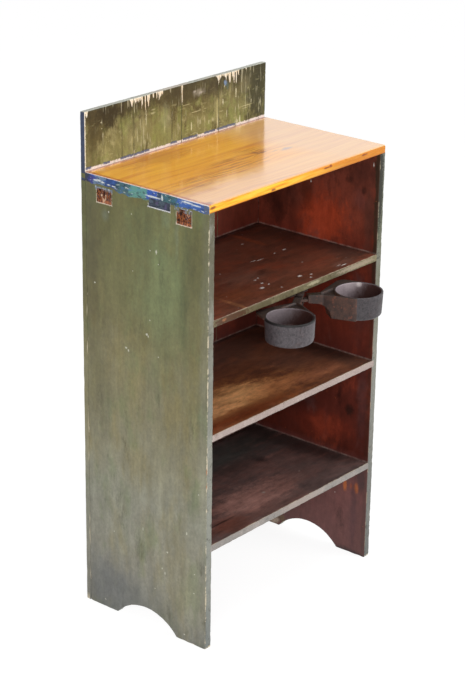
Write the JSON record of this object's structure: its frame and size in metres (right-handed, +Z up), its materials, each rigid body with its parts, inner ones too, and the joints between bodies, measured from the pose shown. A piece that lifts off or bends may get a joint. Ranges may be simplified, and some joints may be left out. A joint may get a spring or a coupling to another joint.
{
  "type": "newspaper stand",
  "caption": "Wooden newspaper stand with open shelves, arched feet, a board back rising past the top and iron cups that swing on a pin under the upper shelf.",
  "frame": {"origin": "on the floor, under the middle of the whole stand with its cups at rest", "axes": "+Z up, front faces -Y, +X to the right seen from the front"},
  "size_m": [0.558, 0.4554, 1.07],
  "materials": {
    "painted_board": "worn olive green paint",
    "shelf_board": "worn dark red-brown paint",
    "varnished_top": "glossy clear varnish on pine",
    "cast_iron": "grey with thin rust",
    "rusty_steel": "dull and rusty"
  },
  "bodies": {
    "cabinet": {"left_side": "painted_board", "right_side": "painted_board", "back_board_1": "painted_board", "back_board_2": "painted_board", "back_board_3": "painted_board", "back_board_4": "painted_board", "top_board": "varnished_top", "upper_shelf": "shelf_board", "middle_shelf": "shelf_board", "lower_shelf": "shelf_board", "pivot_plate": "rusty_steel", "pivot_pin": "rusty_steel", "pivot_washer": "rusty_steel", "pivot_nut": "rusty_steel"},
    "left_cup": {"left_cup": "cast_iron", "left_eye": "cast_iron"},
    "right_cup": {"right_cup": "cast_iron", "right_eye": "cast_iron"}
  },
  "joints": [
    {"name": "left_cup_swing", "type": "hinge", "parent": "cabinet", "child": "left_cup", "pos_m": [0.004, -0.10528, 0.6945], "axis": [0, 0, 1], "range_deg": [-79, 20]},
    {"name": "right_cup_swing", "type": "hinge", "parent": "cabinet", "child": "right_cup", "pos_m": [0.004, -0.10528, 0.6945], "axis": [0, 0, 1], "range_deg": [-15, 84]}
  ]
}
